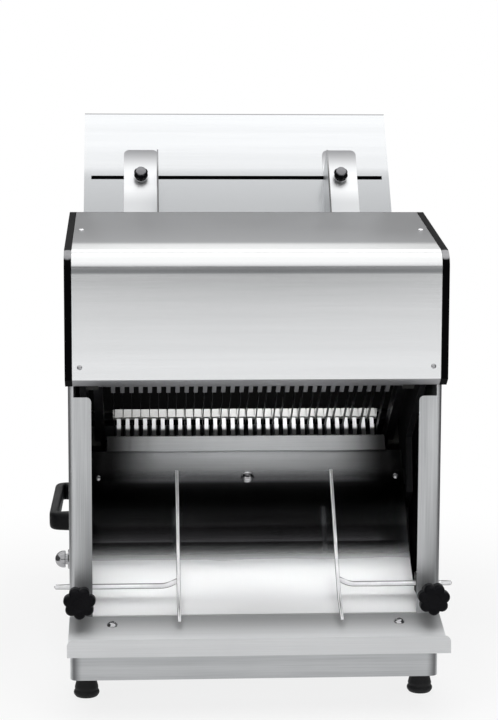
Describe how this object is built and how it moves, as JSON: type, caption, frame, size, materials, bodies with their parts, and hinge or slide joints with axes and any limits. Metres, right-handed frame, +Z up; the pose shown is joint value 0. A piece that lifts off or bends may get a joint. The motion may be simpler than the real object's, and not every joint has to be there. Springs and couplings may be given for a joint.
{
  "type": "bread slicer",
  "caption": "Bench-top bread slicing machine: sloping loaf chute, opposed toothed blade frames under a hood, curved slice slide and lipped front tray with wire guides.",
  "frame": {"origin": "on the floor under the middle of the bounding box", "axes": "+X to the right seen from the operator at the tray, +Y to the back, +Z up"},
  "size_m": [0.54, 0.6358, 0.7437],
  "materials": {
    "stainless": "satin ground stainless sheet",
    "hood_steel": "fine satin stainless sheet",
    "polished": "polished steel",
    "black_gloss": "black moulded plastic, low gloss",
    "black_matte": "black textured plastic",
    "rubber": "black rubber",
    "nylon": "white machined nylon",
    "frame_paint": "dark grey painted steel",
    "blade_steel": "ground blade steel",
    "machined_steel": "milled steel",
    "pulley_metal": "turned aluminium",
    "motor_paint": "grey painted motor housing"
  },
  "bodies": {
    "machine": {"base_pan": "stainless", "feet": "rubber", "left_side_panel": "stainless", "right_side_panel": "stainless", "rear_cover": "stainless", "left_frame_plate": "frame_paint", "right_frame_plate": "frame_paint", "cross_ties": "frame_paint", "bar_rail": "frame_paint", "slide_brace": "frame_paint", "hood_cover": "hood_steel", "left_hood_end": "black_gloss", "right_hood_end": "black_gloss", "hood_screws": "polished", "throat_plate": "stainless", "upper_comb": "stainless", "infeed_plate": "stainless", "slot_channel": "frame_paint", "nylon_bar": "nylon", "finger_plate": "stainless", "slide_plate": "stainless", "slide_screws": "polished", "tray_support": "stainless", "front_tray": "stainless", "tray_screws": "polished", "left_handle": "black_matte", "right_handle": "black_matte", "left_rod_clamp": "frame_paint", "right_rod_clamp": "frame_paint", "button_bezel": "polished", "cable_gland": "black_matte", "motor_mount": "frame_paint", "motor_body": "motor_paint", "drive_belt": "rubber", "crank_bearings": "frame_paint", "guide_blocks": "nylon"},
    "front_frame": {"front_frame_rails": "machined_steel", "front_top_bar": "machined_steel", "front_low_bar": "machined_steel", "front_blades": "blade_steel"},
    "rear_frame": {"rear_frame_rails": "machined_steel", "rear_top_bar": "machined_steel", "rear_low_bar": "machined_steel", "rear_blades": "blade_steel"},
    "front_rod": {"front_conrod": "machined_steel"},
    "rear_rod": {"rear_conrod": "machined_steel"},
    "crank": {"crankshaft": "machined_steel", "crank_pulley": "pulley_metal"},
    "motor_rotor": {"motor_pulley": "pulley_metal"},
    "button": {"power_button": "polished"},
    "left_fence": {"left_fence": "stainless"},
    "right_fence": {"right_fence": "stainless"},
    "left_fence_clamp": {"left_fence_knob": "black_gloss"},
    "right_fence_clamp": {"right_fence_knob": "black_gloss"},
    "left_guide": {"left_wire_guide": "polished"},
    "right_guide": {"right_wire_guide": "polished"},
    "left_star": {"left_star_knob": "black_gloss"},
    "right_star": {"right_star_knob": "black_gloss"}
  },
  "joints": [
    {"name": "front_frame_slide", "type": "slide", "parent": "machine", "child": "front_frame", "axis": [0, -0.809, 0.5878], "range_m": [-0.02, 0.02]},
    {"name": "rear_frame_slide", "type": "slide", "parent": "machine", "child": "rear_frame", "axis": [0, -0.809, 0.5878], "range_m": [-0.02, 0.02]},
    {"name": "front_rod_swing", "type": "hinge", "parent": "front_frame", "child": "front_rod", "pos_m": [0.048, 0.05294, 0.25803], "axis": [1, 0, 0], "range_deg": [0, 15.4]},
    {"name": "rear_rod_swing", "type": "hinge", "parent": "rear_frame", "child": "rear_rod", "pos_m": [-0.048, 0.07645, 0.29039], "axis": [1, 0, 0], "range_deg": [-15.4, 0]},
    {"name": "crank_spin", "type": "hinge", "parent": "machine", "child": "crank", "pos_m": [0, 0.18605, 0.18604], "axis": [1, 0, 0], "continuous": true},
    {"name": "motor_spin", "type": "hinge", "parent": "machine", "child": "motor_rotor", "pos_m": [0.16, 0.02007, 0.118], "axis": [1, 0, 0], "continuous": true},
    {"name": "button_press", "type": "slide", "parent": "machine", "child": "button", "axis": [1, 0, 0], "range_m": [0, 0.003], "stiffness_N_per_m": 300},
    {"name": "left_fence_slide", "type": "slide", "parent": "machine", "child": "left_fence", "axis": [1, 0, 0], "range_m": [-0.05, 0.08]},
    {"name": "right_fence_slide", "type": "slide", "parent": "machine", "child": "right_fence", "axis": [1, 0, 0], "range_m": [-0.08, 0.04]},
    {"name": "left_fence_clamp_turn", "type": "hinge", "parent": "left_fence", "child": "left_fence_clamp", "pos_m": [-0.142, 0.24501, 0.64999], "axis": [0, -0.809, 0.5878], "range_deg": [-180, 180]},
    {"name": "right_fence_clamp_turn", "type": "hinge", "parent": "right_fence", "child": "right_fence_clamp", "pos_m": [0.153, 0.24501, 0.64999], "axis": [0, -0.809, 0.5878], "range_deg": [-180, 180]},
    {"name": "left_guide_slide", "type": "slide", "parent": "machine", "child": "left_guide", "axis": [1, 0, 0], "range_m": [-0.08, 0.015]},
    {"name": "right_guide_slide", "type": "slide", "parent": "machine", "child": "right_guide", "axis": [1, 0, 0], "range_m": [-0.015, 0.074]},
    {"name": "left_star_turn", "type": "hinge", "parent": "machine", "child": "left_star", "pos_m": [-0.221, -0.22143, 0.14], "axis": [0, 1, 0], "range_deg": [-180, 180]},
    {"name": "right_star_turn", "type": "hinge", "parent": "machine", "child": "right_star", "pos_m": [0.221, -0.22143, 0.14], "axis": [0, 1, 0], "range_deg": [-180, 180]}
  ],
  "couplings": [
    {"joint": "rear_frame_slide", "follows": "front_frame_slide", "ratio": -1},
    {"joint": "rear_rod_swing", "follows": "front_rod_swing", "ratio": -1},
    {"joint": "motor_spin", "follows": "crank_spin", "ratio": 2.5}
  ]
}
